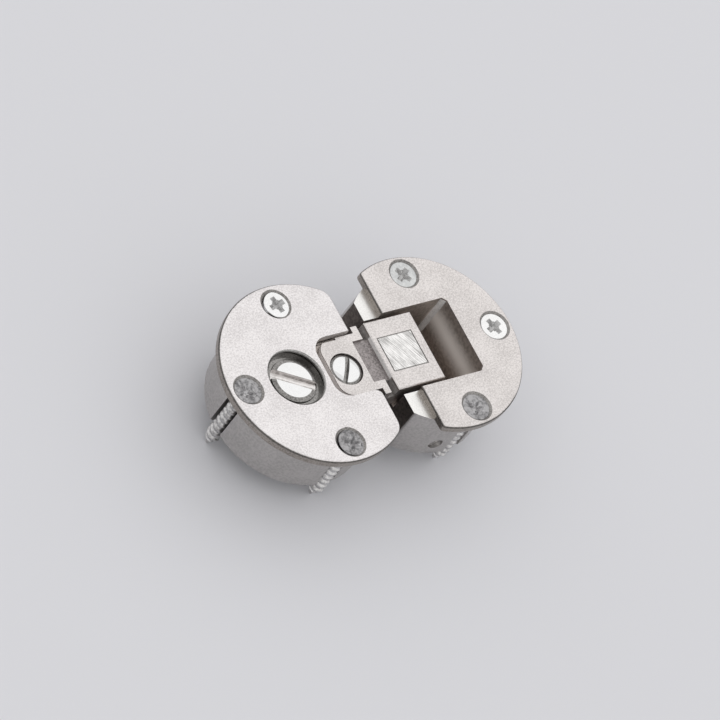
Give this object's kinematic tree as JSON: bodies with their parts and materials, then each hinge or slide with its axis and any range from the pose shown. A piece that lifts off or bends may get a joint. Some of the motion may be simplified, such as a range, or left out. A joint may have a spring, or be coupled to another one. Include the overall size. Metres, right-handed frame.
{
  "type": "flap hinge",
  "caption": "Concealed flap hinge: two round flanged cups joined by a pivoting arm that folds into one cup's pocket, with an eccentric adjuster and countersunk screws.",
  "frame": {"origin": "centre of the base cup on the panel surface, which is the underside of its flange", "axes": "+X from the base cup to the flap cup, +Y along the pivot, +Z out of the panels"},
  "size_m": [0.0706, 0.0412, 0.0204],
  "materials": {
    "cast_nickel": "nickel-plated zinc casting, fine satin grain",
    "polished_nickel": "polished nickel plate",
    "steel_pin": "ground steel",
    "spring_steel": "dark phosphated spring steel",
    "zinc_screw": "bright zinc-plated steel"
  },
  "bodies": {
    "base": {"base_cup": "cast_nickel", "base_screw_far": "zinc_screw", "base_screw_left": "zinc_screw", "base_screw_near": "zinc_screw"},
    "eccentric": {"eccentric_screw": "polished_nickel", "retaining_ring": "spring_steel"},
    "arm": {"hinge_arm": "cast_nickel", "clamp_plate": "steel_pin"},
    "clamp": {"clamp_screw": "polished_nickel"},
    "flap": {"flap_cup": "cast_nickel", "pivot_pin": "steel_pin", "flap_screw_far": "zinc_screw", "flap_screw_right": "zinc_screw", "flap_screw_near": "zinc_screw"}
  },
  "joints": [
    {"name": "eccentric_turn", "type": "hinge", "parent": "base", "child": "eccentric", "pos_m": [-0.00436, 0, 0], "axis": [0, 0, 1], "range_deg": [-52, 52]},
    {"name": "arm_slide", "type": "slide", "parent": "base", "child": "arm", "axis": [1, 0, 0], "range_m": [-0.001, 0.001]},
    {"name": "clamp_turn", "type": "hinge", "parent": "arm", "child": "clamp", "pos_m": [0.0083, -0.0006, 0], "axis": [0, 0, 1], "range_deg": [0, 360]},
    {"name": "flap_fold", "type": "hinge", "parent": "arm", "child": "flap", "pos_m": [0.0265, 0, -0.009], "axis": [0, -1, 0], "range_deg": [0, 90]}
  ],
  "couplings": [
    {"joint": "eccentric_turn", "follows": "arm_slide", "rad_per_m": 836.12}
  ]
}
